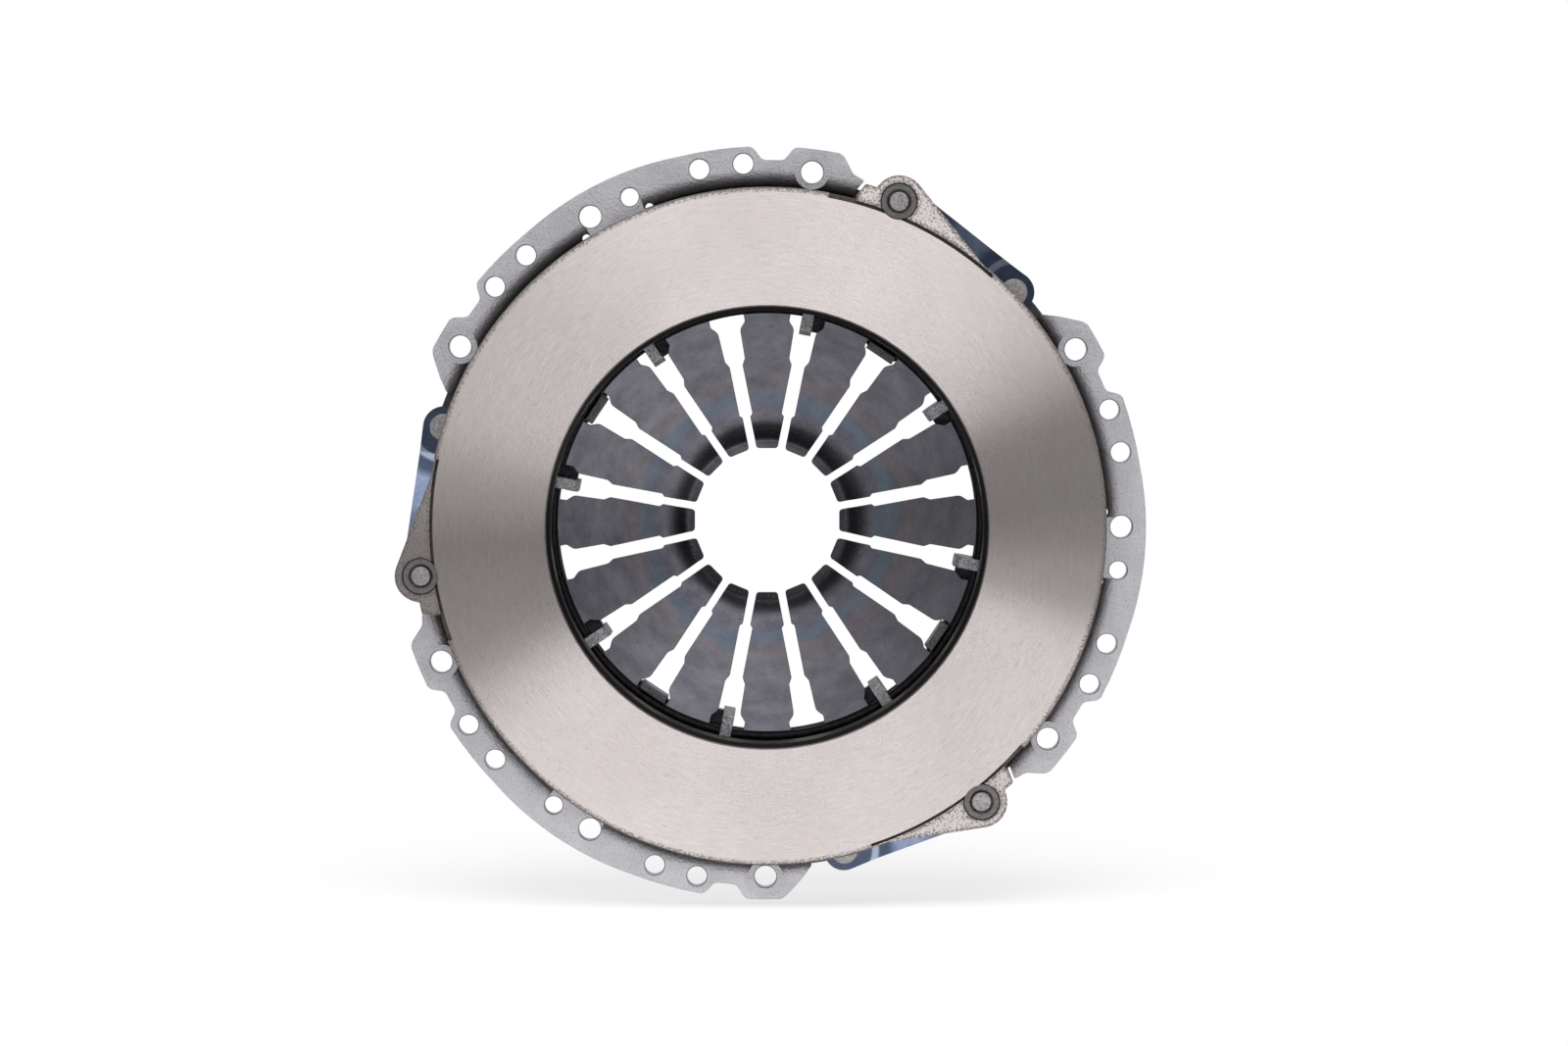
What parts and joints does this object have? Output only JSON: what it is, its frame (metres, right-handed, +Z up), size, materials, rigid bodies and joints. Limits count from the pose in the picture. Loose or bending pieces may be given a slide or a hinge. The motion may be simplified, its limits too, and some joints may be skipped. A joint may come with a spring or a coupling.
{
  "type": "clutch pressure plate",
  "caption": "Round dry-clutch pressure plate: pressed steel cover, cast ring with a ground friction face, slotted diaphragm spring on wire rings, and leaf straps.",
  "frame": {"origin": "on the clutch axis, in the plane of the cover's mounting flange", "axes": "+Y along the clutch axis from the flywheel towards the release bearing, +Z up as pictured, +X to the right of someone facing the friction face"},
  "size_m": [0.2725, 0.05, 0.2748],
  "materials": {
    "cover_steel": "phosphated pressed sheet, satin and slightly blue",
    "plate_iron": "friction face ground in circles, the rest as cast",
    "spring_steel": "dark shot-peened spring steel with a temper tint near the finger tips",
    "ring_steel": "dark drawn wire",
    "strap_steel": "blued strip",
    "rivet_steel": "satin",
    "collar_steel": "satin, slightly dark"
  },
  "bodies": {
    "cover": {"cover": "cover_steel", "fulcrum_ring_front": "ring_steel", "fulcrum_ring_rear": "ring_steel", "cover_rivet_1": "rivet_steel", "cover_rivet_2": "rivet_steel", "cover_rivet_3": "rivet_steel", "strap_1_leaf_1": "strap_steel", "strap_1_leaf_2": "strap_steel", "strap_1_leaf_3": "strap_steel", "strap_2_leaf_1": "strap_steel", "strap_2_leaf_2": "strap_steel", "strap_2_leaf_3": "strap_steel", "strap_3_leaf_1": "strap_steel", "strap_3_leaf_2": "strap_steel", "strap_3_leaf_3": "strap_steel"},
    "pressure_plate": {"pressure_plate": "plate_iron", "plate_rivet_1": "rivet_steel", "plate_rivet_2": "rivet_steel", "plate_rivet_3": "rivet_steel", "rivet_collar_1": "collar_steel", "rivet_collar_2": "collar_steel", "rivet_collar_3": "collar_steel"},
    "diaphragm": {"diaphragm_spring": "spring_steel"}
  },
  "joints": [
    {"name": "plate_slide", "type": "slide", "parent": "cover", "child": "pressure_plate", "axis": [0, 1, 0], "range_m": [0, 0.0047], "stiffness_N_per_m": 40000, "deforming": ["strap_1_leaf_1", "strap_1_leaf_2", "strap_1_leaf_3", "strap_2_leaf_1", "strap_2_leaf_2", "strap_2_leaf_3", "strap_3_leaf_1", "strap_3_leaf_2", "strap_3_leaf_3"]},
    {"name": "finger_travel", "type": "slide", "parent": "cover", "child": "diaphragm", "axis": [0, -1, 0], "range_m": [0, 0.01401], "deforming": ["diaphragm_spring"]}
  ],
  "couplings": [
    {"joint": "finger_travel", "follows": "plate_slide", "ratio": 2.98}
  ]
}
